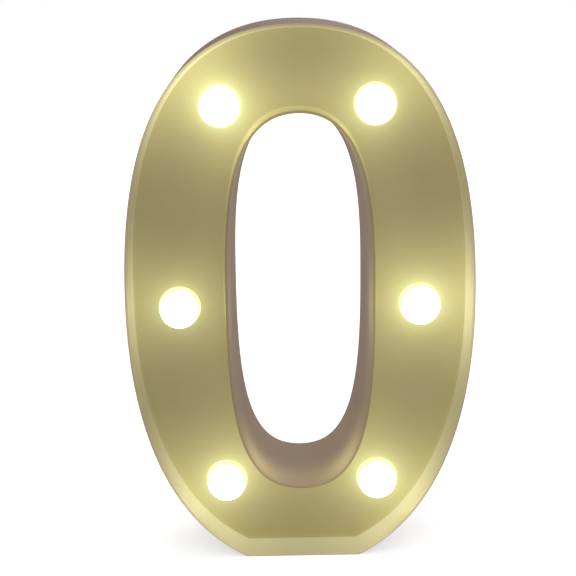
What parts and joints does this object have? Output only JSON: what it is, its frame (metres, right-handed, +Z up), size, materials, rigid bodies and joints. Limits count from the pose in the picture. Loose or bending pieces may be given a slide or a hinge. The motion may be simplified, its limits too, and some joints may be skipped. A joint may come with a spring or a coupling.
{
  "type": "light up marquee number",
  "caption": "Battery lamp in the shape of the figure zero: a moulded shell on a flat foot, frosted domes in its sunk face, and a back cover with a hinged battery door and a slide switch.",
  "frame": {"origin": "middle of the flat foot that the number stands on, halfway between the front rim and the back edge", "axes": "+Z up, +X to the right as seen from the front, -Y out of the front face that is looked at"},
  "size_m": [0.1428, 0.045, 0.22],
  "materials": {
    "moulded_plastic": "satin, champagne",
    "frosted_dome": "frosted, lit from inside",
    "clear_led": "clear",
    "white_plastic": "moulded",
    "plated_steel": "nickel plated",
    "cell_jacket": "plain shrink sleeve",
    "black_plastic": "satin",
    "red_sleeve": "wire sleeve",
    "black_sleeve": "wire sleeve",
    "resistor_body": "lacquered"
  },
  "bodies": {
    "case": {"front_shell": "moulded_plastic", "back_cover": "moulded_plastic", "battery_cell_outer": "cell_jacket", "battery_cell_inner": "cell_jacket", "positive_contact": "plated_steel", "negative_contact": "plated_steel", "link_contact": "plated_steel", "link_spring": "plated_steel", "negative_spring": "plated_steel", "battery_wire": "red_sleeve", "lamp_wire_red": "red_sleeve", "lamp_wire_black": "black_sleeve", "resistor": "resistor_body", "switch_body": "black_plastic", "switch_screw_left": "plated_steel", "switch_screw_right": "plated_steel", "cover_screw_top_left": "plated_steel", "cover_screw_top_right": "plated_steel", "cover_screw_upper_left": "plated_steel", "cover_screw_upper_right": "plated_steel", "cover_screw_lower_left": "plated_steel", "cover_screw_lower_right": "plated_steel", "cover_screw_foot_left": "plated_steel", "cover_screw_foot_right": "plated_steel", "lamp_dome_upper_left": "frosted_dome", "lamp_dome_upper_right": "frosted_dome", "lamp_dome_middle_left": "frosted_dome", "lamp_dome_middle_right": "frosted_dome", "lamp_dome_lower_left": "frosted_dome", "lamp_dome_lower_right": "frosted_dome", "lamp_holder_upper_left": "white_plastic", "lamp_holder_upper_right": "white_plastic", "lamp_holder_middle_left": "white_plastic", "lamp_holder_middle_right": "white_plastic", "lamp_holder_lower_left": "white_plastic", "lamp_holder_lower_right": "white_plastic", "lamp_led_upper_left": "clear_led", "lamp_led_upper_right": "clear_led", "lamp_led_middle_left": "clear_led", "lamp_led_middle_right": "clear_led", "lamp_led_lower_left": "clear_led", "lamp_led_lower_right": "clear_led"},
    "door": {"battery_door": "moulded_plastic"},
    "knob": {"switch_knob": "black_plastic"}
  },
  "joints": [
    {"name": "battery_door_hinge", "type": "hinge", "parent": "case", "child": "door", "pos_m": [0.04872, 0.021, 0.07735], "axis": [-1, 0, 0], "range_deg": [0, 75]},
    {"name": "switch_slide", "type": "slide", "parent": "case", "child": "knob", "axis": [1, 0, 0], "range_m": [0, 0.0026]}
  ]
}
